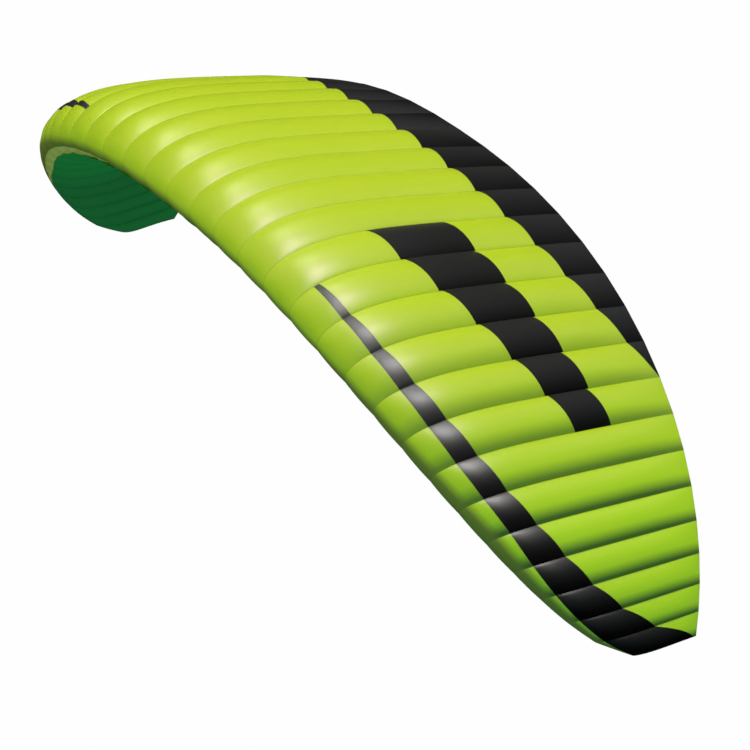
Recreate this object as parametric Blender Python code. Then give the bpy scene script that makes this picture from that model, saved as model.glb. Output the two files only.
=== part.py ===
# Paraglider wing: a ram-air canopy of an upper and a lower sail sewn to ribs, inflated and bent
# into its arch. X runs along the span, -Y is the way it flies and +Z is up. The origin lies on the
# underside, on the middle seam, where the lines pull on average. Metres and degrees throughout.
import math

import bmesh
import bpy
import numpy as np

# Plan and arch
ROOT_CHORD = 2.76
HALF_ARC = 5.60             # along the cloth, from the middle seam to a tip
CELLS_EACH_SIDE = 17
CELL_NARROWING = 0.610      # share by which a tip cell is narrower than the middle ones
NARROWING_POWER = 1.61
TIP_LEAN = 67.35            # how far the tip ribs lean outwards from upright
LEAN_POWER = 1.397
TIP_CHORD = 0.587
PLAN_POWERS = (3.01, 1.31)  # of the superellipse that the chord follows along the span
TRAIL_BOW = 0.163           # how far the trailing edge's even curve comes forward at the tips
SWEEP = 0.407               # how much further it comes forward towards the very tips
SWEEP_POWER = 4.63
TIP_WASHOUT = 1.65          # the tips' trailing edges are turned down by this

# Aerofoil: Bernstein weights of its upper and lower height, from nose to tail
UPPER_WEIGHTS = (0.352, 0.299, 0.174, 0.236)
LOWER_WEIGHTS = (0.341, 0.124, 0.071)

# Cloth
SAIL_THICKNESS = 0.002
RIB_THICKNESS = 0.0015
SEAM_GAP = 0.0003
RIB_GAP = 0.0004
BILLOW = 0.139              # rise of the cloth between two seams, per metre of cell width
BILLOW_FADE = 0.25          # share of the chord over which it dies out at the trailing edge
BILLOW_POWER = 0.7
NOSE_BILLOW = 0.08          # share of the rise that is left at the nose, where rods hold the cloth
NOSE_TURN = 0.35            # turn of the aerofoil at which the rise is whole
RIB_TAIL = 0.97             # share of the chord where a rib ends

# Rows and columns of facets
UPPER_STEPS = 4             # columns in a cell
LOWER_STEPS = 3
NOSE_ROWS = 4
STRIPE_ROWS = 3
MAIN_ROWS = 6
TRAILING_ROWS = 2
LOWER_ROWS = 6
SLOPE_STEP = 1e-4
ARCH_STEPS = 800            # in which the arch's line is added up along the cloth

ORIGIN_SHARE = 0.30         # the origin's place behind the nose, as a share of the root chord

# Seams, counted from the middle, at which each half of a sail is pieced together
UPPER_SECTIONS = (0, 2, 4, 5, 9, 17)
LOWER_SECTIONS = (0, 2, 4, 6, 11, 17)

# Edges of the cloth panels, at seams counted from the middle, as shares of the chord
STRIPE_EDGES = (
    # seam, front, rear
    (5, 0.069, 0.085),
    (6, 0.071, 0.097),
    (8, 0.071, 0.120),
    (10, 0.070, 0.147),
    (11, 0.071, 0.163),
    (12, 0.071, 0.187),
    (13, 0.060, 0.217),
    (14, 0.050, 0.260),
    (15, 0.043, 0.348),
    (16, 0.040, 0.521),
    (17, 0.000, 0.970),
)
TRAILING_EDGES = (
    # seam, front
    (0, 0.783),
    (2, 0.784),
    (3, 0.792),
    (4, 0.806),
    (5, 0.827),
    (6, 0.851),
    (7, 0.885),
    (8, 0.930),
    (9, 0.9985),
)
MOUTH_EDGES = (
    # seam, upper lip, lower lip
    (10, 0.0090, 0.0360),
    (11, 0.0062, 0.0215),
    (12, 0.0040, 0.0108),
    (13, 0.0018, 0.0038),
    (14, 0.0010, 0.0010),
)

# Principled values: colour, roughness
LIME = ((0.42, 0.62, 0.02, 1.0), 0.45)
BLACK = ((0.012, 0.012, 0.011, 1.0), 0.50)
EMERALD = ((0.005, 0.13, 0.035, 1.0), 0.50)
RIB_CLOTH = ((0.36, 0.45, 0.15, 1.0), 0.55)


def arch_sections():
    """Each seam's place in the arch, from the middle to a tip, as arrays by name."""
    middles = (np.arange(CELLS_EACH_SIDE) + 0.5) / CELLS_EACH_SIDE
    widths = 1 - CELL_NARROWING * middles**NARROWING_POWER
    widths *= HALF_ARC / widths.sum()
    along = np.concatenate([[0.0], np.cumsum(widths)]) / HALF_ARC
    fine = np.linspace(0, 1, ARCH_STEPS + 1)
    lean = math.radians(TIP_LEAN) * fine**LEAN_POWER
    step = HALF_ARC * (fine[1] - fine[0])
    out = np.concatenate([[0.0], np.cumsum((np.cos(lean[1:]) + np.cos(lean[:-1])) / 2)]) * step
    down = np.concatenate([[0.0], np.cumsum((np.sin(lean[1:]) + np.sin(lean[:-1])) / 2)]) * step
    taper = np.maximum(1 - along ** PLAN_POWERS[0], 0) ** (1 / PLAN_POWERS[1])
    chord = TIP_CHORD + (ROOT_CHORD - TIP_CHORD) * taper
    trailing_y = ROOT_CHORD / 2 - TRAIL_BOW * along**2 - SWEEP * along**SWEEP_POWER
    return {
        "x": np.interp(along, fine, out),
        "z": -np.interp(along, fine, down),
        "lean": np.interp(along, fine, lean),
        "chord": chord,
        "nose_y": trailing_y - chord,
        "washout": math.radians(TIP_WASHOUT) * along**2,
        "width": widths,
    }


ARCH = arch_sections()


def bernstein(share, weights):
    order = len(weights) - 1
    return sum(
        math.comb(order, i) * share**i * (1 - share) ** (order - i) * weight
        for i, weight in enumerate(weights)
    )


def aerofoil(turn, chord):
    """Way back from the nose and height over the chord line, at turns from -1 to 1.

    The square of a turn is the share of the chord. Turns below zero lie on the lower sail. At the
    tail the two sails stay a seam gap apart once each has its thickness.
    """
    share = turn * turn
    weight = np.where(turn < 0, bernstein(share, LOWER_WEIGHTS), bernstein(share, UPPER_WEIGHTS))
    tail = (SAIL_THICKNESS + SEAM_GAP / 2) * turn * abs(turn)
    return chord * share, chord * turn * (1 - share) * weight + tail


def seam_profile(seam, turn):
    """Points and outward normals of one seam's outer line, on the +X side of the wing."""
    lean = ARCH["lean"][seam]
    chord = ARCH["chord"][seam]
    back, height = aerofoil(turn, chord)
    back_after, height_after = aerofoil(turn + SLOPE_STEP, chord)
    back_before, height_before = aerofoil(turn - SLOPE_STEP, chord)
    run = back_after - back_before
    rise = height_after - height_before
    length = np.hypot(run, rise)
    height = height + np.sin(ARCH["washout"][seam]) * (chord - back)
    points = np.stack(
        [
            ARCH["x"][seam] + math.sin(lean) * height,
            ARCH["nose_y"][seam] + back,
            ARCH["z"][seam] + math.cos(lean) * height,
        ],
        axis=-1,
    )
    normals = np.stack(
        [math.sin(lean) * run / length, -rise / length, math.cos(lean) * run / length], axis=-1
    )
    return points, normals


def cloth_line(place, turn, depth=0.0):
    """Points across the cloth at a place on the span, a depth below its outer face.

    The place counts seams from the middle, below zero on the -X side. Between two seams the cloth
    bows out by a parabola.
    """
    inner = min(math.floor(abs(place)), CELLS_EACH_SIDE - 1)
    part = abs(place) - inner
    inner_points, inner_normals = seam_profile(inner, turn)
    outer_points, outer_normals = seam_profile(inner + 1, turn)
    normals = (1 - part) * inner_normals + part * outer_normals
    normals /= np.linalg.norm(normals, axis=-1, keepdims=True)
    fade = np.clip((1 - turn * turn) / BILLOW_FADE, 0, 1) ** BILLOW_POWER
    ahead = np.clip(np.abs(turn) / NOSE_TURN, 0, 1)
    fade *= NOSE_BILLOW + (1 - NOSE_BILLOW) * ahead * ahead * (3 - 2 * ahead)
    bow = BILLOW * ARCH["width"][inner] * 4 * part * (1 - part) * fade
    points = (1 - part) * inner_points + part * outer_points + (bow - depth)[:, None] * normals
    points -= ORIGIN
    if place < 0:
        points[:, 0] *= -1
    return points


def origin_point():
    turn = np.array([-math.sqrt(ORIGIN_SHARE)])
    return seam_profile(0, turn)[0][0]


ORIGIN = origin_point()


def edge(table, name_column, place):
    """A panel edge's turn at a place on the span, from the shares in its table."""
    seams = [row[0] for row in table]
    shares = [row[name_column] for row in table]
    return math.sqrt(np.interp(abs(place), seams, shares))


def drawn_in(turn, place, way):
    """The turn half a seam gap before (-1) or after (1) an edge shared by two panels."""
    chord = np.interp(abs(place), np.arange(CELLS_EACH_SIDE + 1), ARCH["chord"])
    here = np.array(aerofoil(np.array(turn), chord))
    beyond = np.array(aerofoil(np.array(turn + SLOPE_STEP), chord))
    metres_per_turn = np.linalg.norm(beyond - here) / SLOPE_STEP
    return turn + way * SEAM_GAP / 2 / metres_per_turn


def stripe_front(place):
    return edge(STRIPE_EDGES, 1, place)


def stripe_rear(place):
    return edge(STRIPE_EDGES, 2, place)


def trailing_front(place):
    return edge(TRAILING_EDGES, 1, place)


def has_trailing(place):
    return abs(place) <= TRAILING_EDGES[-1][0]


def upper_lip(place):
    return -edge(MOUTH_EDGES, 1, place)


def lower_lip(place):
    return -edge(MOUTH_EDGES, 2, place)


def places(first, last, steps):
    """Places of the columns of facets from one seam to another, half a seam gap in from each."""
    inner = first + SEAM_GAP / 2 / ARCH["width"][first]
    outer = last
    if last < CELLS_EACH_SIDE:
        outer -= SEAM_GAP / 2 / ARCH["width"][last - 1]
    between = [first + i / steps for i in range(1, (last - first) * steps)]
    return [inner] + between + [outer]


def nose_turns(place):
    """Rows from the cell's mouth up to the stripe."""
    lip = drawn_in(upper_lip(place), place, 1)
    front = drawn_in(stripe_front(place), place, -1)
    return np.linspace(lip, front, NOSE_ROWS + 1)


def main_turns(place):
    """Rows from behind the stripe to the trailing panel or to the tail."""
    tail = 1.0
    if has_trailing(place):
        tail = drawn_in(trailing_front(place), place, -1)
    rear = drawn_in(stripe_rear(place), place, 1)
    return np.linspace(rear, tail, MAIN_ROWS + 1)


def upper_turns(place):
    return np.concatenate([nose_turns(place), main_turns(place)])


def stripe_turns(place):
    front = drawn_in(stripe_front(place), place, 1)
    rear = drawn_in(stripe_rear(place), place, -1)
    return np.linspace(front, rear, STRIPE_ROWS + 1)


def trailing_turns(place):
    front = drawn_in(trailing_front(place), place, 1)
    return np.linspace(front, 1.0, TRAILING_ROWS + 1)


def lower_turns(place):
    return np.linspace(-1.0, drawn_in(lower_lip(place), place, -1), LOWER_ROWS + 1)


def cloth_material(name, look):
    colour, roughness = look
    material = bpy.data.materials.new(name)
    material.use_nodes = True
    shader = material.node_tree.nodes["Principled BSDF"]
    shader.inputs["Base Color"].default_value = colour
    shader.inputs["Roughness"].default_value = roughness
    shader.inputs["Metallic"].default_value = 0.0
    material.diffuse_color = colour
    return material


def add_object(name, shape, look):
    """Turn a finished bmesh into a named object with its faces pointing out."""
    bmesh.ops.recalc_face_normals(shape, faces=shape.faces)
    mesh = bpy.data.meshes.new(name)
    shape.to_mesh(mesh)
    shape.free()
    mesh.materials.append(cloth_material(name, look))
    part = bpy.data.objects.new(name, mesh)
    bpy.context.scene.collection.objects.link(part)


def add_sheet(name, columns, turns_at, look):
    """A sheet of cloth over a grid of facets, closed by its inner face and its rim.

    Each facet is cut from its far front corner to its near rear one, alike on both halves.
    """
    turns = np.array([turns_at(place) for place in columns])
    outer = np.array([cloth_line(place, turn) for place, turn in zip(columns, turns)])
    inner = np.array([cloth_line(p, turn, SAIL_THICKNESS) for p, turn in zip(columns, turns)])
    shape = bmesh.new()
    outer_verts = [[shape.verts.new(point) for point in line] for line in outer]
    inner_verts = [[shape.verts.new(point) for point in line] for line in inner]
    below = dict(zip(sum(outer_verts, []), sum(inner_verts, [])))
    for column in range(len(columns) - 1):
        near, far = sorted((column, column + 1), key=lambda i: abs(columns[i]))
        for row in range(turns.shape[1] - 1):
            shared = [outer_verts[far][row], outer_verts[near][row + 1]]
            for corner in (outer_verts[near][row], outer_verts[far][row + 1]):
                shape.faces.new(shared + [corner])
                shape.faces.new([below[v] for v in shared + [corner]])
    for border in [e for e in shape.edges if e.is_boundary and e.verts[0] in below]:
        first, second = border.verts
        shape.faces.new([second, first, below[first], below[second]])
    add_object(name, shape, look)


def rib_turns(seam):
    """The turns of every facet corner on a seam's upper line, from the nose back."""
    nose, main = np.split(upper_turns(seam), [NOSE_ROWS + 1])
    turns = list(nose)
    if abs(seam) > STRIPE_EDGES[0][0]:
        turns += list(stripe_turns(seam)[1:-1])
    turns += list(main)
    if has_trailing(seam):
        turns += list(trailing_turns(seam)[1:])
    return np.array(turns)


def rib_edge(seam, turns, steps, offset):
    """One sail's edge of a rib's face, from the nose to the rib's tail.

    The face lies an offset out from the seam's plane, and its edge follows the sail's facets there.
    """
    side = -1 if seam < 0 else 1
    lean = ARCH["lean"][abs(seam)]
    across = np.array([side * math.cos(lean), 0.0, -math.sin(lean)])
    depth = SAIL_THICKNESS + RIB_GAP
    way = 1 if offset > 0 else -1
    here = cloth_line(seam, turns, depth)
    slant = cloth_line(seam + side * way / steps, turns, depth) - here
    points = here + offset * slant / (slant @ across)[:, None]
    shares = turns * turns
    tail = [np.interp(RIB_TAIL, shares, points[:, axis]) for axis in range(3)]
    return np.vstack([points[shares < RIB_TAIL], tail])


def add_rib(name, seam, look):
    """A flat rib in the plane of its seam, cut to both sails and open to the front."""
    offsets = (-RIB_THICKNESS / 2, RIB_THICKNESS / 2)
    if abs(seam) == CELLS_EACH_SIDE:
        offsets = (-RIB_THICKNESS, 0.0)
    shape = bmesh.new()
    rims = []
    for offset in offsets:
        over = rib_edge(seam, rib_turns(seam), UPPER_STEPS, offset)
        under = rib_edge(seam, lower_turns(seam)[::-1], LOWER_STEPS, offset)
        rims.append([shape.verts.new(point) for point in np.vstack([over, under[::-1]])])
    inner, outer = rims
    shape.faces.new(inner)
    shape.faces.new(outer[::-1])
    for i in range(len(inner)):
        shape.faces.new([inner[i - 1], outer[i - 1], outer[i], inner[i]])
    add_object(name, shape, look)


def add_pair(name, columns, turns_at, look, ending=""):
    """A sheet on the left half of the wing and its mirror image on the right."""
    add_sheet(f"{name}_left{ending}", columns, turns_at, look)
    add_sheet(f"{name}_right{ending}", [-place for place in columns], turns_at, look)


def build():
    for old in list(bpy.data.objects):
        bpy.data.objects.remove(old)
    tip = CELLS_EACH_SIDE
    stripe_seam = STRIPE_EDGES[0][0]
    for number, (first, last) in enumerate(zip(UPPER_SECTIONS, UPPER_SECTIONS[1:]), 1):
        turns_at = upper_turns if last <= stripe_seam else main_turns
        columns = places(first, last, UPPER_STEPS)
        add_pair("upper_sail", columns, turns_at, LIME, f"_{number}")
    add_pair("nose", places(stripe_seam, tip, UPPER_STEPS), nose_turns, LIME)
    add_pair("stripe", places(stripe_seam, tip, UPPER_STEPS), stripe_turns, BLACK)
    trailing = places(0, TRAILING_EDGES[-1][0], UPPER_STEPS)[1:]
    mirrored = [-place for place in reversed(trailing)]
    add_sheet("trailing_panel", mirrored + [0.0] + trailing, trailing_turns, BLACK)
    for number, (first, last) in enumerate(zip(LOWER_SECTIONS, LOWER_SECTIONS[1:]), 1):
        columns = places(first, last, LOWER_STEPS)
        add_pair("lower_sail", columns, lower_turns, EMERALD, f"_{number}")
    for number, seam in enumerate(range(tip, -tip - 1, -1)):
        add_rib(f"rib_{number:02d}", seam, RIB_CLOTH)


build()
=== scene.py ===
import math

import bpy
import numpy as np
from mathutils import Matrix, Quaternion, Vector


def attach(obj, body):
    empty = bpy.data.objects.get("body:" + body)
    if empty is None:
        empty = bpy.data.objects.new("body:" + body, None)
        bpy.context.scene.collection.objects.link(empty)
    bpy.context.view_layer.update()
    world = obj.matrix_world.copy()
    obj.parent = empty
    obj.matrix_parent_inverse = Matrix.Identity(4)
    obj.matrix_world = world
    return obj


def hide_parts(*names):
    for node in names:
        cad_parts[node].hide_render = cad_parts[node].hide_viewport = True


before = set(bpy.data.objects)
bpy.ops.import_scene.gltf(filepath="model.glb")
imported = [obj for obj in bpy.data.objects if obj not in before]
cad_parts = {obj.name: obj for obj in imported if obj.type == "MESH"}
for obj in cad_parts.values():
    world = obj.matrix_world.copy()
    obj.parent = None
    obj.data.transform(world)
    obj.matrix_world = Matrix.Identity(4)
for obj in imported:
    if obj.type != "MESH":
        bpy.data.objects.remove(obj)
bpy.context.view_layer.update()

scene = bpy.context.scene
scene.view_settings.view_transform = "Standard"

print("stage: camera, floor and light")

# camera: where it stands and what it looks at in metres, its tilt in degrees, and its lens and
# sensor in millimetres
camera = {
    "position": (24.787, -12.155, 12.014),
    "target": (0.715, 0.691, -1.479),
    "roll": -1.141,
    "lens": 173.357,
    "sensor": 36.0,
    "farthest": 500.0,
}


def aimed(position, target, roll=0.0):
    # turned so that its -Z axis points at the target, then rolled about that axis
    look = Vector(target) - Vector(position)
    return look.to_track_quat("-Z", "Y") @ Quaternion((0, 0, 1), math.radians(roll))


def placed(name, data, position, target, roll=0.0):
    piece = bpy.data.objects.new(name, data)
    scene.collection.objects.link(piece)
    piece.location = position
    piece.rotation_mode = "QUATERNION"
    piece.rotation_quaternion = aimed(position, target, roll)
    return piece


lens = bpy.data.cameras.new("camera")
lens.sensor_width = camera["sensor"]
lens.lens = camera["lens"]
lens.clip_end = camera["farthest"]
scene.camera = placed("camera", lens, camera["position"], camera["target"], camera["roll"])

# lights: power in watts, size across in metres, all discs aimed at the wing's middle;
# a soft one lights the cloth and a gloss one only shows in its sheen
studio = {
    "aim": (0.5, 0.3, -0.8),
    "lights": (
        # name, kind, position, size, power, colour
        ("topLight", "soft", (-1.0, -4.5, 19.0), 12.0, 1760, (1.0, 0.59, 0.53)),
        ("tipLight", "soft", (12.0, 2.0, 16.0), 12.0, 1460, (1.0, 0.79, 0.44)),
        ("backLight", "soft", (2.0, 15.0, 13.0), 12.0, 1470, (1.0, 0.63, 0.85)),
        ("frontLight", "soft", (-10.0, -14.0, 12.0), 12.0, 1920, (1.0, 0.77, 0.42)),
        ("farSheen", "gloss", (-8.0, -2.0, 18.0), 8.0, 1780, (1.0, 0.97, 0.95)),
        ("nearSheen", "gloss", (5.0, -3.0, 19.0), 8.0, 5800, (1.0, 0.97, 0.95)),
    ),
    "white": (0.99, 0.99, 0.99, 1),
    "fillColour": (0.42, 0.82, 1.0, 1),
    "fill": 0.56,  # strength of the room's light on the cloth
    "fillGloss": 0.01,  # and in its gloss
    "floorHeight": -6.0,
    "floorSize": 320.0,
}
for name, kind, position, size, power, colour in studio["lights"]:
    lamp = bpy.data.lights.new(name, "AREA")
    lamp.shape = "DISK"
    lamp.size = size
    lamp.energy = power
    lamp.color = colour
    light = placed(name, lamp, position, studio["aim"])
    light.visible_diffuse = kind == "soft"
    light.visible_glossy = kind == "gloss"


class Term:
    # a socket that takes part in a sum: each operator adds its own Math node
    def __init__(self, finish, socket):
        self.finish = finish
        self.socket = socket

    def __add__(self, other):
        return self.finish.math("ADD", self, other)

    def __radd__(self, other):
        return self.finish.math("ADD", other, self)

    def __sub__(self, other):
        return self.finish.math("SUBTRACT", self, other)

    def __rsub__(self, other):
        return self.finish.math("SUBTRACT", other, self)

    def __mul__(self, other):
        return self.finish.math("MULTIPLY", self, other)

    def __rmul__(self, other):
        return self.finish.math("MULTIPLY", other, self)

    def __truediv__(self, other):
        return self.finish.math("DIVIDE", self, other)

    def __abs__(self):
        return self.finish.math("ABSOLUTE", self)


class Finish:
    # a material or world under construction
    def __init__(self, tree):
        self.tree = tree
        tree.nodes.clear()

    def add(self, kind, settings=None, inputs=None):
        node = self.tree.nodes.new(kind)
        for key, value in (settings or {}).items():
            setattr(node, key, value)
        for key, value in (inputs or {}).items():
            self.feed(node.inputs[key], value)
        return node

    def feed(self, socket, value):
        if isinstance(value, Term):
            value = value.socket
        if isinstance(value, bpy.types.NodeSocket):
            self.tree.links.new(value, socket)
        else:
            socket.default_value = value

    def term(self, socket):
        return Term(self, socket)

    def math(self, operation, *terms):
        settings = {"operation": operation}
        node = self.add("ShaderNodeMath", settings, dict(enumerate(terms)))
        return Term(self, node.outputs[0])

    def clamp(self, value):
        return self.term(self.add("ShaderNodeClamp", None, {"Value": value}).outputs[0])

    def near(self, distance, middle, halfWidth):
        # 1 where a distance equals the middle, falling evenly to 0 at the half width
        return self.clamp(1 - abs(distance - middle) / halfWidth)

    def mix(self, share, first, second):
        # a colour between two, by a share from 0 to 1
        settings = {"data_type": "RGBA"}
        node = self.add("ShaderNodeMix", settings, {0: share, 6: first, 7: second})
        return node.outputs[2]

    def mixShaders(self, share, first, second):
        inputs = {0: share, 1: first.outputs[0], 2: second.outputs[0]}
        return self.add("ShaderNodeMixShader", None, inputs)

    def noise(self, vector, scale, detail):
        inputs = {"Vector": vector, "Scale": scale, "Detail": detail}
        return self.term(self.add("ShaderNodeTexNoise", None, inputs).outputs[0])


def floorMaterial():
    # plain pale floor, seen from above and clear from below
    material = bpy.data.materials.new("paleFloor")
    material.use_nodes = True
    finish = Finish(material.node_tree)
    pale = finish.add("ShaderNodeEmission", None, {"Color": studio["white"], "Strength": 1.0})
    clear = finish.add("ShaderNodeBsdfTransparent")
    back = finish.add("ShaderNodeNewGeometry").outputs["Backfacing"]
    mixed = finish.mixShaders(back, pale, clear)
    finish.add("ShaderNodeOutputMaterial", None, {"Surface": mixed.outputs[0]})
    return material


half = studio["floorSize"] / 2
floorMesh = bpy.data.meshes.new("floor")
corners = [(-half, -half), (half, -half), (half, half), (-half, half)]
floorMesh.from_pydata([(x, y, studio["floorHeight"]) for x, y in corners], [], [(0, 1, 2, 3)])
floorMesh.materials.append(floorMaterial())
floor = bpy.data.objects.new("floor", floorMesh)
scene.collection.objects.link(floor)
floor.visible_diffuse = False
floor.visible_glossy = False
floor.visible_shadow = False

# the room: white where the camera sees it, dim where it lights the cloth, dimmer in its gloss
scene.world = bpy.data.worlds.new("room")
scene.world.use_nodes = True
room = Finish(scene.world.node_tree)
rays = room.add("ShaderNodeLightPath").outputs


def roomLight(colour, strength):
    return room.add("ShaderNodeBackground", None, {"Color": colour, "Strength": strength})


onCloth = roomLight(studio["fillColour"], studio["fill"])
inGloss = roomLight((1.0, 1.0, 1.0, 1), studio["fillGloss"])
unseen = room.mixShaders(rays["Is Glossy Ray"], onCloth, inGloss)
everyRay = room.mixShaders(rays["Is Camera Ray"], unseen, roomLight(studio["white"], 1.0))
room.add("ShaderNodeOutputWorld", None, {"Surface": everyRay.outputs[0]})

print("stage: wing")

# the wing's plan, arch, aerofoil and cloth, in metres and degrees. A place on the span counts
# seams from the middle, and is below zero on the right half. A turn goes from -1 at the tail
# along the lower sail to 0 at the nose, and on to 1 at the tail along the upper sail.
wing = {
    "rootChord": 2.76,
    "halfArc": 5.60,  # along the arch from the middle to a tip
    "cellsEachSide": 17,
    "cellNarrowing": 0.610,  # share of its width that a cell loses at the tips
    "narrowingPower": 1.61,
    "tipLean": 67.35,
    "leanPower": 1.397,
    "tipChord": 0.587,
    "planPowers": (3.01, 1.31),
    "trailBow": 0.163,
    "sweep": 0.407,
    "sweepPower": 4.63,
    "tipTwist": 1.65,  # degrees by which the tips' noses are raised above their tails
    "upperWeights": (0.352, 0.299, 0.174, 0.236),
    "lowerWeights": (0.341, 0.124, 0.071),
    "clothThickness": 0.002,
    "ribThickness": 0.0015,
    "gap": 0.0003,
    "ribGap": 0.0006,
    "billow": 0.139,  # rise of the cloth between two seams, as a share of the cell's width
    "billowFade": 0.25,  # share of the chord over which it fades to the tail, by the power
    "billowPower": 0.7,
    "noseBillow": 0.08,  # share of it that is left at the nose
    "noseTurn": 0.35,  # turns at which it is whole, above and below the nose
    "underNoseTurn": 0.75,
    "ribTail": 0.97,  # share of the chord at which the ribs end
    "originShare": 0.30,  # share of the middle chord at which the origin lies on the lower sail
    "seamTuck": 0.003,
    "tuckWidth": 0.009,
}

# panel edges as shares of the chord, at seams counted from the middle
panels = {
    "stripeSeams": (5, 6, 8, 10, 11, 12, 13, 14, 15, 16, 17),
    "stripeFront": (0.069, 0.071, 0.071, 0.070, 0.071, 0.071, 0.060, 0.050, 0.043, 0.040, 0.0),
    "stripeRear": (0.085, 0.097, 0.120, 0.147, 0.163, 0.187, 0.217, 0.260, 0.348, 0.521, 0.970),
    "trailingSeams": (0, 2, 3, 4, 5, 6, 7, 8, 9),
    "trailingFront": (0.783, 0.784, 0.792, 0.806, 0.827, 0.851, 0.885, 0.930, 0.9985),
    "mouthSeams": (10, 11, 12, 13, 14),
    "upperLip": (0.0090, 0.0062, 0.0040, 0.0018, 0.0010),
    "lowerLip": (0.0360, 0.0215, 0.0108, 0.0038, 0.0010),
    "upperSections": (0, 2, 4, 5, 9, 17),
    "lowerSections": (0, 2, 4, 6, 11, 17),
}

# how finely the cloth is drawn: columns in a cell, rows from edge to edge, and the steps in
# which the arch is added up and the aerofoil's slope is taken
grid = {
    "archPoints": 801,
    "slopeStep": 1e-4,
    "cellSteps": 13,
    "cellMiddle": (0.10, 0.90),  # shares of a cell between which its columns are even
    "seamColumns": (0.004, 0.010, 0.020),  # more columns beside a seam, in metres from it
    "noseRows": 22,
    "stripeRows": 12,
    "mainRows": 64,
    "trailingRows": 20,
    "lowerRows": 64,
    "ribRows": 4,
    "ribSteps": 72,
}


def archSections():
    # each seam's place, lean and chord from the middle to a tip: cell widths shrink by a power
    # of the way out, the lean grows by another, and the chord follows a superellipse
    cells = wing["cellsEachSide"]
    middles = (np.arange(cells) + 0.5) / cells
    widths = 1 - wing["cellNarrowing"] * middles ** wing["narrowingPower"]
    widths *= wing["halfArc"] / widths.sum()
    along = np.concatenate([[0.0], np.cumsum(widths)]) / wing["halfArc"]
    fine = np.linspace(0, 1, grid["archPoints"])
    lean = math.radians(wing["tipLean"]) * fine ** wing["leanPower"]
    step = wing["halfArc"] * fine[1]
    out = np.concatenate([[0.0], np.cumsum((np.cos(lean[1:]) + np.cos(lean[:-1])) / 2)]) * step
    down = np.concatenate([[0.0], np.cumsum((np.sin(lean[1:]) + np.sin(lean[:-1])) / 2)]) * step
    first, second = wing["planPowers"]
    taper = np.maximum(1 - along**first, 0) ** (1 / second)
    chord = wing["tipChord"] + (wing["rootChord"] - wing["tipChord"]) * taper
    bow = wing["trailBow"] * along**2 + wing["sweep"] * along ** wing["sweepPower"]
    return {
        "x": np.interp(along, fine, out),
        "z": -np.interp(along, fine, down),
        "lean": np.interp(along, fine, lean),
        "chord": chord,
        "noseY": wing["rootChord"] / 2 - bow - chord,
        "twist": math.radians(wing["tipTwist"]) * along**2,
        "width": widths,
    }


arch = archSections()


def bernstein(share, weights):
    # sum of the Bernstein polynomials, each times its weight
    order = len(weights) - 1
    return sum(
        math.comb(order, i) * share**i * (1 - share) ** (order - i) * weight
        for i, weight in enumerate(weights)
    )


def aerofoil(turn, chord):
    # way back is the chord times the turn squared; the height is chord * turn * (1 - share)
    # times its weight, so the nose is round and both sails close at the tail, where a last
    # term leaves room for the cloth of each and the gap between them
    share = turn * turn
    lower = bernstein(share, wing["lowerWeights"])
    upper = bernstein(share, wing["upperWeights"])
    weight = np.where(turn < 0, lower, upper)
    tail = (wing["clothThickness"] + wing["gap"] / 2) * turn * np.abs(turn)
    return chord * share, chord * turn * (1 - share) * weight + tail


def seamProfile(seam, turn):
    # points and outward normals on seams of the +X half: the aerofoil runs back along Y, and
    # its height stands along the seam's lean, raised towards the nose by the twist
    lean, chord = arch["lean"][seam], arch["chord"][seam]
    back, height = aerofoil(turn, chord)
    backAfter, heightAfter = aerofoil(turn + grid["slopeStep"], chord)
    backBefore, heightBefore = aerofoil(turn - grid["slopeStep"], chord)
    run, rise = backAfter - backBefore, heightAfter - heightBefore
    length = np.hypot(run, rise)
    height = height + np.sin(arch["twist"][seam]) * (chord - back)
    points = [
        arch["x"][seam] + np.sin(lean) * height,
        arch["noseY"][seam] + back,
        arch["z"][seam] + np.cos(lean) * height,
    ]
    normals = [np.sin(lean) * run / length, -rise / length, np.cos(lean) * run / length]
    return np.stack(points, axis=-1), np.stack(normals, axis=-1)


origin = seamProfile(0, np.array(-math.sqrt(wing["originShare"])))[0]


def seamGap(place):
    # metres from a place on the span to its nearest seam
    across = np.abs(place)
    inner = np.minimum(np.floor(across), wing["cellsEachSide"] - 1).astype(int)
    part = across - inner
    return np.minimum(part, 1 - part) * arch["width"][inner]


def clothSurface(place, turn, depth=0.0):
    # straight across from seam to seam, plus a parabola that fades at the nose and the tail,
    # less a narrow bell-shaped tuck where the cloth is sewn down, and less the depth asked for;
    # the right half is its mirror image
    place = np.broadcast_to(place, turn.shape)
    across = np.abs(place)
    inner = np.minimum(np.floor(across), wing["cellsEachSide"] - 1).astype(int)
    part = (across - inner)[..., None]
    innerPoints, innerNormals = seamProfile(inner, turn)
    outerPoints, outerNormals = seamProfile(inner + 1, turn)
    normals = (1 - part) * innerNormals + part * outerNormals
    normals /= np.linalg.norm(normals, axis=-1, keepdims=True)
    fade = np.clip((1 - turn * turn) / wing["billowFade"], 0, 1) ** wing["billowPower"]
    noseTurn = np.where(turn < 0, wing["underNoseTurn"], wing["noseTurn"])
    ahead = np.clip(np.abs(turn) / noseTurn, 0, 1)
    fade = fade * (wing["noseBillow"] + (1 - wing["noseBillow"]) * ahead * ahead * (3 - 2 * ahead))
    bow = wing["billow"] * arch["width"][inner] * 4 * part[..., 0] * (1 - part[..., 0]) * fade
    tuck = wing["seamTuck"] * fade * np.exp(-((seamGap(place) / wing["tuckWidth"]) ** 2))
    lift = (bow - tuck - depth)[..., None]
    points = (1 - part) * innerPoints + part * outerPoints + lift * normals - origin
    points[..., 0] *= np.where(place < 0, -1, 1)
    return points


def panelEdge(seams, shares, place):
    # the turn of a panel's edge: the root of its share of the chord, which runs straight from
    # one named seam to the next
    return np.sqrt(np.interp(np.abs(place), panels[seams], panels[shares]))


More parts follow.
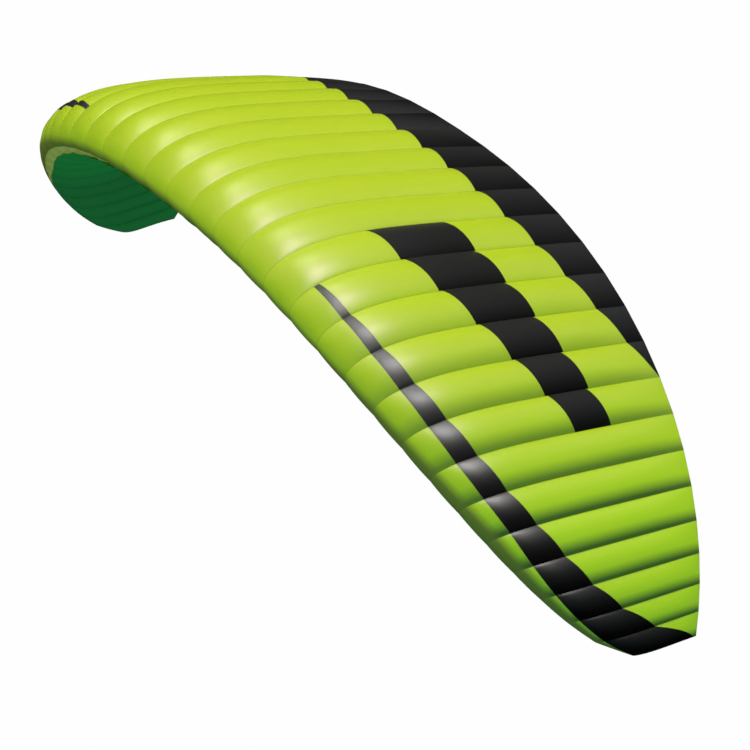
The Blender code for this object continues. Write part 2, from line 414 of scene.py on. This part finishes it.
def upperLip(place):
    return -panelEdge("mouthSeams", "upperLip", place)


def lowerLip(place):
    return -panelEdge("mouthSeams", "lowerLip", place)


def stripeFront(place):
    return panelEdge("stripeSeams", "stripeFront", place)


def stripeRear(place):
    return panelEdge("stripeSeams", "stripeRear", place)


def trailingFront(place):
    last = panels["trailingSeams"][-1]
    inside = np.abs(place) <= last
    return np.where(inside, panelEdge("trailingSeams", "trailingFront", place), 1.0)


def tail(place):
    return np.ones_like(place)


def underTail(place):
    return -np.ones_like(place)


def columnsBetween(first, last):
    # places from one seam to another, closer together beside each seam
    cells = []
    for cell in range(first, last):
        beside = np.array(grid["seamColumns"]) / arch["width"][cell]
        middle = np.linspace(*grid["cellMiddle"], grid["cellSteps"])
        middle = middle[(middle > beside[-1]) & (middle < 1 - beside[-1])]
        cells.append(cell + np.concatenate([[0.0], beside, middle, 1 - beside[::-1]]))
    return np.concatenate(cells + [[float(last)]])


def lengths(points, axis):
    # metres gone along one direction of the grid, from its start
    steps = np.linalg.norm(np.diff(points, axis=axis), axis=-1)
    return np.insert(np.cumsum(steps, axis=axis), 0, 0.0, axis=axis)


def gridArea(points):
    # half the cross product of each facet's diagonals, added up
    diagonals = points[1:, 1:] - points[:-1, :-1], points[:-1, 1:] - points[1:, :-1]
    return float(np.linalg.norm(np.cross(*diagonals), axis=-1).sum() / 2)


def addGrid(name, points, facts, sharpColumns, material):
    # puts a grid of points into a mesh, with its maps and its creases
    columns, rows = points.shape[:2]
    corner = np.arange(columns * rows).reshape(columns, rows)
    quads = [corner[:-1, :-1], corner[1:, :-1], corner[1:, 1:], corner[:-1, 1:]]
    quads = np.stack(quads, axis=-1).reshape(-1, 4)
    mesh = bpy.data.meshes.new(name)
    mesh.from_pydata(points.reshape(-1, 3), [], quads.tolist())
    mesh.polygons.foreach_set("use_smooth", np.ones(len(quads), dtype=bool))
    for mapName in ("cloth", "layout"):
        layer = mesh.uv_layers.new(name=mapName)
        layer.data.foreach_set("uv", facts[mapName].reshape(-1, 2)[quads.ravel()].ravel())
    for factName in ("seamDistance", "edgeDistance"):
        layer = mesh.attributes.new(factName, "FLOAT", "POINT")
        layer.data.foreach_set("value", facts[factName].ravel())
    ends = np.empty(len(mesh.edges) * 2, dtype=np.int32)
    mesh.edges.foreach_get("vertices", ends)
    column, row = np.divmod(ends.reshape(-1, 2), rows)
    alongColumn = (column[:, 0] == column[:, 1]) & sharpColumns[column[:, 0]]
    alongRow = (row[:, 0] == row[:, 1]) & np.isin(row[:, 0], (0, rows - 1))
    sharp = mesh.attributes.new("sharp_edge", "BOOLEAN", "EDGE")
    sharp.data.foreach_set("value", alongColumn | alongRow)
    mesh.materials.append(material)
    piece = bpy.data.objects.new(name, mesh)
    scene.collection.objects.link(piece)
    return piece


def clothThick(piece, thickness, offset):
    solid = piece.modifiers.new("thickness", "SOLIDIFY")
    solid.thickness = thickness
    solid.offset = offset
    solid.use_even_offset = True


def declared(piece, points, nodes, flat=None):
    # rides with the wing and stands for its nodes; it works out the size it was cut to, its
    # longest lines both ways unless another size is given, and its area, but hands neither on
    flat = flat or (float(lengths(points, 0)[-1].max()), float(lengths(points, 1)[:, -1].max()))
    area = min(gridArea(points), flat[0] * flat[1])
    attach(piece, "root")
    if nodes:
        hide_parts(*nodes)


def addCloth(name, places, edges, rows, look, nodes, depth=0.0, thickness=None):
    # a sheet between two edges, each a function of the place on the span, in even steps of turn
    front, rear = edges
    places = np.asarray(places, dtype=float)[:, None]
    share = np.linspace(0, 1, rows + 1)[None, :]
    turn = front(places) * (1 - share) + rear(places) * share
    points = clothSurface(places, turn, depth)
    across, back = lengths(points, 0), lengths(points, 1)
    facts = {
        "cloth": np.stack([across, back], axis=-1),
        "layout": np.stack(np.broadcast_arrays(places + wing["cellsEachSide"], turn), axis=-1),
        "seamDistance": np.broadcast_to(seamGap(places), turn.shape),
        "edgeDistance": np.minimum(back, back[:, -1:] - back),
    }
    creased = np.isclose(places[:, 0], np.round(places[:, 0]))
    creased[[0, -1]] = True
    piece = addGrid(name, points, facts, creased, finishes[look])
    clothThick(piece, thickness or wing["clothThickness"], -1)
    declared(piece, points, nodes)


def addPair(name, node, number, seams, edges, rows, look):
    # the same sheet on both halves of the wing, sewn to each rib that it crosses
    places = columnsBetween(*seams)
    for side, span in (("Left", places), ("Right", -places[::-1])):
        nodes = ["_".join(word for word in (node, side.lower(), number) if word)]
        addCloth(name + side + number, span, edges, rows, look, nodes)


def ribName(seam):
    return f"rib{wing['cellsEachSide'] - seam:02d}"


print("stage: cloth")

# ripstop cloth: its threads, its folds and stitches along each seam and its crinkles, in metres,
# scales per metre; how strongly each shows in the deep tone; and what each adds to the roughness
ripstop = {
    "pitch": 0.005,
    "threadWidth": 0.0011,
    "threadHeight": 0.00012,
    "threadTone": 0.22,
    "foldWidth": 0.004,
    "foldTone": 0.55,
    "stitchRows": (0.005, 0.011),
    "stitchWidth": 0.0010,
    "stitchLength": 0.0036,
    "stitchPart": 0.68,  # share of its length that shows
    "stitchHeight": 0.0004,
    "stitchTone": 0.35,
    "stitchRough": 0.10,
    "crinkleScale": 34.0,
    "crinkleHeight": 0.0005,
    "crinkleRough": 0.04,
    "toneScale": 0.9,
    "toneShares": (0.7, 0.3),  # of the wander over the panel and from cell to cell
    "toneRough": 0.08,
    "lessRough": 0.05,  # taken off, as the rest is added
    "detail": 3.0,
    "relief": 0.6,  # strength of the bump
}

# each cloth's slot, colours and gloss. It wanders between colour and other; deep is its tone in
# the threads and the sewing, under a painted shade beneath the nose, tip a tone painted in at
# the tips (painted light on the upper cloth, painted shade on the lower), its glow painted light
# that stands in for the light that it lets through, and sheenTint the colour of its gloss. The
# outer tone is a painted shade that grows by a power between two shares of each cell's width,
# from its inner seam to its outer one: wholly near the tips, and by its least share or more in
# the middle.
plain = {
    "outer": (0.0, 0.0, 0.0, 1),
    "outerShare": 0.0,
    "outerFrom": 0.50,
    "outerTo": 1.0,
    "outerPower": 2.0,
    "outerLeast": 0.0,
    "under": (0.0, 0.0, 0.0, 1),
    "underShadeShare": 0.0,
    "tip": (0.0, 0.0, 0.0, 1),
    "paintedTipShare": 0.0,
    "paintedGlow": (0.0, 0.0, 0.0, 1),
    "sheenTint": (1.0, 1.0, 1.0, 1),
}
looks = {
    "upper_cloth": {
        **plain,
        "slot": "upper_cloth",
        "colour": (0.386, 0.600, 0.004, 1),
        "other": (0.423, 0.610, 0.005, 1),
        "deep": (0.130, 0.270, 0.006, 1),
        # painted shade on each cell's outer side and under the nose, painted light at the tips
        "outer": (0.066, 0.155, 0.014, 1),
        "outerShare": 1.0,
        "outerFrom": 0.60,
        "outerTo": 0.92,
        "outerPower": 1.3,
        "under": (0.185, 0.225, 0.019, 1),
        "underShadeShare": 0.95,
        "tip": (0.430, 0.730, 0.003, 1),
        "paintedTipShare": 0.9,
        "roughness": 0.40,
        "gloss": 0.45,
        "sheenTint": (1.0, 0.66, 1.0, 1),
    },
    "black_cloth": {
        **plain,
        "slot": "black_cloth",
        "colour": (0.0075, 0.0090, 0.0090, 1),
        "other": (0.0095, 0.0110, 0.0110, 1),
        "deep": (0.0015, 0.0015, 0.0015, 1),
        # painted shade on each cell's outer side, near the tips
        "outer": (0.0003, 0.0003, 0.0003, 1),
        "outerShare": 1.0,
        "outerFrom": 0.15,
        "outerTo": 0.80,
        "outerPower": 1.0,
        "roughness": 0.46,
        "gloss": 0.72,
    },
    "bar_cloth": {
        **plain,
        "slot": "black_cloth",
        "colour": (0.0125, 0.0152, 0.0152, 1),
        "other": (0.0150, 0.0182, 0.0182, 1),
        "deep": (0.0020, 0.0020, 0.0020, 1),
        # painted shade across each cell, darkest at its outer seam
        "outer": (0.0010, 0.0010, 0.0010, 1),
        "outerShare": 1.0,
        "outerFrom": 0.0,
        "outerPower": 1.4,
        "outerLeast": 1.0,
        "roughness": 0.50,
        "gloss": 0.26,
    },
    "trailing_cloth": {
        **plain,
        "slot": "black_cloth",
        "colour": (0.0170, 0.0212, 0.0212, 1),
        "other": (0.0205, 0.0252, 0.0252, 1),
        "deep": (0.0030, 0.0030, 0.0030, 1),
        # painted shade across each cell, darkest at its outer seam
        "outer": (0.0012, 0.0012, 0.0012, 1),
        "outerShare": 1.0,
        "outerFrom": 0.0,
        "outerPower": 1.4,
        "outerLeast": 1.0,
        "roughness": 0.52,
        "gloss": 0.20,
    },
    "lower_cloth": {
        **plain,
        "slot": "lower_cloth",
        "colour": (0.0015, 0.365, 0.034, 1),
        "other": (0.0025, 0.410, 0.040, 1),
        "deep": (0.0020, 0.215, 0.022, 1),
        # painted shade towards the tips
        "tip": (0.0300, 0.130, 0.026, 1),
        "paintedTipShare": 0.5,
        "roughness": 0.60,
        "gloss": 0.30,
    },
    "rib_cloth": {
        **plain,
        "slot": "rib_cloth",
        "colour": (0.52, 0.58, 0.22, 1),
        "other": (0.58, 0.64, 0.26, 1),
        "deep": (0.25, 0.30, 0.10, 1),
        # painted glow, standing in for the light that the rib lets through
        "paintedGlow": (0.095, 0.120, 0.024, 1),
        "roughness": 0.58,
        "gloss": 0.40,
    },
    "tip_cloth": {
        **plain,
        "slot": "rib_cloth",
        "colour": (0.340, 0.530, 0.006, 1),
        "other": (0.375, 0.550, 0.008, 1),
        "deep": (0.130, 0.270, 0.006, 1),
        "roughness": 0.45,
        "gloss": 0.40,
    },
}

# where the painted tip tone and the painted outer shade begin and are whole, in seams from the
# middle, and where the painted shade under the nose ends, in turns: its first place, how much
# further it reaches at the tips, its softness
shading = {
    "firstSeam": 6.0,
    "fullSeam": 12.0,
    "noseTurn": 0.02,
    "noseSpread": 0.20,
    "noseSoft": 0.09,
}


def mapOf(finish, name):
    # one of the sheet's two maps, and its two numbers
    vector = finish.add("ShaderNodeUVMap", {"uv_map": name}).outputs[0]
    parts = finish.add("ShaderNodeSeparateXYZ", None, {0: vector}).outputs
    return vector, finish.term(parts[0]), finish.term(parts[1])


def factOf(finish, name):
    return finish.term(finish.add("ShaderNodeAttribute", {"attribute_name": name}).outputs["Fac"])


def threadsOf(finish, across, back):
    # raised threads in squares
    half = ripstop["pitch"] / 2
    threads = [
        finish.near(finish.math("PINGPONG", way, half), 0.0, ripstop["threadWidth"] / 2)
        for way in (across, back)
    ]
    return finish.math("MAXIMUM", *threads)


def sewingOf(finish, across, back):
    # a fold along each seam and edge, and double rows of dashes beside it
    distances = [factOf(finish, name) for name in ("seamDistance", "edgeDistance")]
    folds = [finish.near(distance, 0.0, ripstop["foldWidth"]) for distance in distances]
    lines = []
    for distance, way in zip(distances, (back, across)):
        along = finish.math("FRACT", way / ripstop["stitchLength"])
        dash = finish.math("LESS_THAN", along, ripstop["stitchPart"])
        for row in ripstop["stitchRows"]:
            lines.append(finish.near(distance, row, ripstop["stitchWidth"]) * dash)
    stitches = lines[0]
    for line in lines[1:]:
        stitches = finish.math("MAXIMUM", stitches, line)
    return finish.math("MAXIMUM", *folds), stitches


def wandering(finish, look, tone, place):
    # a tone that wanders over the panel and differs from cell to cell
    inputs = {"W": finish.math("FLOOR", place)}
    cells = finish.add("ShaderNodeTexWhiteNoise", {"noise_dimensions": "1D"}, inputs)
    overPanel, byCell = ripstop["toneShares"]
    share = finish.clamp(tone * overPanel + finish.term(cells.outputs[0]) * byCell)
    return finish.mix(share, look["colour"], look["other"])


def shaded(finish, look, base, place, turn):
    # painted light and shade: another tone towards the tips (painted light on the upper cloth,
    # painted shade on the lower), and painted shade on the outer side of the cells and under the
    # nose
    fromMiddle = abs(place - wing["cellsEachSide"])
    span = shading["fullSeam"] - shading["firstSeam"]
    toTip = finish.clamp((fromMiddle - shading["firstSeam"]) / span)
    part = finish.math("FRACT", fromMiddle)
    # painted shade, growing towards each cell's outer seam
    outer = finish.clamp((part - look["outerFrom"]) / (look["outerTo"] - look["outerFrom"]))
    outer = finish.math("POWER", outer, look["outerPower"])
    outer = outer * finish.math("MAXIMUM", toTip, look["outerLeast"])
    # painted shade under the nose, reaching further back near the tips
    limit = toTip * shading["noseSpread"] + shading["noseTurn"]
    under = finish.clamp((limit - turn) / shading["noseSoft"])
    # painted light on the upper cloth and painted shade on the lower, towards the tips
    base = finish.mix(toTip * toTip * look["paintedTipShare"], base, look["tip"])
    base = finish.mix(outer * look["outerShare"], base, look["outer"])
    return finish.mix(under * look["underShadeShare"], base, look["under"])


def clothFinish(name, look):
    # ripstop: its colour under its threads and its sewing, which with the crinkles give its relief
    material = bpy.data.materials.new(name)
    material.use_nodes = True
    finish = Finish(material.node_tree)
    cloth, across, back = mapOf(finish, "cloth")
    place, turn = mapOf(finish, "layout")[1:]
    weave = threadsOf(finish, across, back)
    fold, stitches = sewingOf(finish, across, back)
    onObject = finish.add("ShaderNodeTexCoord").outputs["Object"]
    tone = finish.noise(onObject, ripstop["toneScale"], ripstop["detail"])
    crinkle = finish.noise(cloth, ripstop["crinkleScale"], ripstop["detail"])

    # the cloth's own tones, with painted light and shade mixed in
    base = shaded(finish, look, wandering(finish, look, tone, place), place, turn)
    base = finish.mix(weave * ripstop["threadTone"], base, look["deep"])
    sewing = finish.clamp(fold * ripstop["foldTone"] + stitches * ripstop["stitchTone"])
    base = finish.mix(sewing, base, look["deep"])
    height = (
        weave * ripstop["threadHeight"]
        + crinkle * ripstop["crinkleHeight"]
        + stitches * ripstop["stitchHeight"]
    )
    inputs = {"Strength": ripstop["relief"], "Distance": 1.0, "Height": height}
    bump = finish.add("ShaderNodeBump", None, inputs)
    rough = (
        look["roughness"]
        - ripstop["lessRough"]
        + tone * ripstop["toneRough"]
        + crinkle * ripstop["crinkleRough"]
        + stitches * ripstop["stitchRough"]
    )
    shader = finish.add(
        "ShaderNodeBsdfPrincipled",
        None,
        {
            "Base Color": base,
            "Roughness": rough,
            "Normal": bump.outputs[0],
            "Specular IOR Level": look["gloss"],
            "Specular Tint": look["sheenTint"],
            # a painted glow: the cloth lights itself, standing in for the light it lets through
            "Emission Color": look["paintedGlow"],
            "Emission Strength": 1.0,
        },
    )
    finish.add("ShaderNodeOutputMaterial", None, {"Surface": shader.outputs[0]})
    return material


finishes = {name: clothFinish(name, look) for name, look in looks.items()}

print("stage: ribs")


def addRib(seam):
    # ruled between its upper and its lower line, both just inside the cloth; its flat size is
    # the rectangle around it
    depth = wing["clothThickness"] + wing["ribGap"]
    share = np.linspace(0, 1, grid["ribSteps"] + 1)
    end = math.sqrt(wing["ribTail"])
    over = upperLip(seam) * (1 - share) + end * share
    under = lowerLip(seam) * (1 - share) - end * share
    upperLine = clothSurface(float(seam), over, depth)
    lowerLine = clothSurface(float(seam), under, depth)
    up = np.linspace(0, 1, grid["ribRows"] + 1)[None, :, None]
    points = lowerLine[:, None] * (1 - up) + upperLine[:, None] * up
    back, height = lengths(points, 0), lengths(points, 1)
    ownPlace = seam + wing["cellsEachSide"] + 0.5
    facts = {
        "cloth": np.stack([back, height], axis=-1),
        "layout": np.stack([np.full(back.shape, ownPlace), height], axis=-1),
        "seamDistance": np.minimum(height, height[:, -1:] - height),
        "edgeDistance": np.minimum(back, back[-1:] - back),
    }
    creased = np.zeros(len(share), dtype=bool)
    creased[[0, -1]] = True
    outermost = abs(seam) == wing["cellsEachSide"]
    look = "tip_cloth" if outermost else "rib_cloth"
    piece = addGrid(ribName(seam), points, facts, creased, finishes[look])
    clothThick(piece, wing["ribThickness"], math.copysign(1, -seam) if outermost else 0)
    node = f"rib_{wing['cellsEachSide'] - seam:02d}"
    lean = math.copysign(arch["lean"][abs(seam)], seam)
    upward = np.array([math.sin(lean), 0.0, math.cos(lean)])
    flat = float(np.ptp(points[..., 1])), float(np.ptp(points @ upward))
    declared(piece, points, [node], flat)


for seam in range(-wing["cellsEachSide"], wing["cellsEachSide"] + 1):
    addRib(seam)

print("stage: upper sail")
stripeSeams = panels["stripeSeams"][0], panels["stripeSeams"][-1]


def addUpperSection(number, seams):
    # from the lip of the mouths, or from the rear of the stripe where there is one
    whole = seams[1] <= stripeSeams[0]
    front = upperLip if whole else stripeRear
    edges = front, trailingFront
    rows = grid["mainRows"] + (grid["noseRows"] if whole else 0)
    addPair("upperSail", "upper_sail", str(number), seams, edges, rows, "upper_cloth")


for number, seams in enumerate(zip(panels["upperSections"], panels["upperSections"][1:]), 1):
    addUpperSection(number, seams)

# the strip of sail in front of the stripe, and the stripe
edges = upperLip, stripeFront
addPair("nose", "nose", "", stripeSeams, edges, grid["noseRows"], "upper_cloth")
edges = stripeFront, stripeRear
addPair("stripe", "stripe", "", stripeSeams, edges, grid["stripeRows"], "black_cloth")

print("stage: trailing panel")
halfPlaces = columnsBetween(0, panels["trailingSeams"][-1])
places = np.concatenate([-halfPlaces[:0:-1], halfPlaces])
edges, rows = (trailingFront, tail), grid["trailingRows"]
nodes = ["trailing_panel"]
addCloth("trailingPanel", places, edges, rows, "trailing_cloth", nodes)

print("stage: lower sail")
edges, rows = (underTail, lowerLip), grid["lowerRows"]
for number, seams in enumerate(zip(panels["lowerSections"], panels["lowerSections"][1:]), 1):
    addPair("lowerSail", "lower_sail", str(number), seams, edges, rows, "lower_cloth")

print("stage: patches")

# black bars sewn on the left half, one to a cell, each a step shorter and further back: the
# inset is a share of a cell, the slant one of the chord, proud and thickness are in metres
patches = {
    "firstCell": 4,
    "columns": 26,
    "rows": 40,
    "bars": (
        # front and rear share of the chord
        (0.34, 0.60),
        (0.38, 0.62),
        (0.42, 0.64),
        (0.46, 0.66),
        (0.50, 0.68),
        (0.54, 0.70),
    ),
    "inset": 0.0015,
    "slant": 0.03,
    "proud": 0.0013,
    "thickness": 0.0010,
}


def slantedEdge(cell, share):
    # an edge that runs back evenly across its cell
    def edge(place):
        return np.sqrt(share + patches["slant"] * (np.abs(place) - cell - 0.5))

    return edge


for number, (front, rear) in enumerate(patches["bars"]):
    cell = patches["firstCell"] + number
    inset = patches["inset"]
    places = np.linspace(cell + inset, cell + 1 - inset, patches["columns"])
    edges = slantedEdge(cell, front), slantedEdge(cell, rear)
    addCloth(
        f"bar{number + 1}", places, edges, patches["rows"], "bar_cloth", (),
        depth=-patches["proud"], thickness=patches["thickness"],
    )

print("stage: finish")
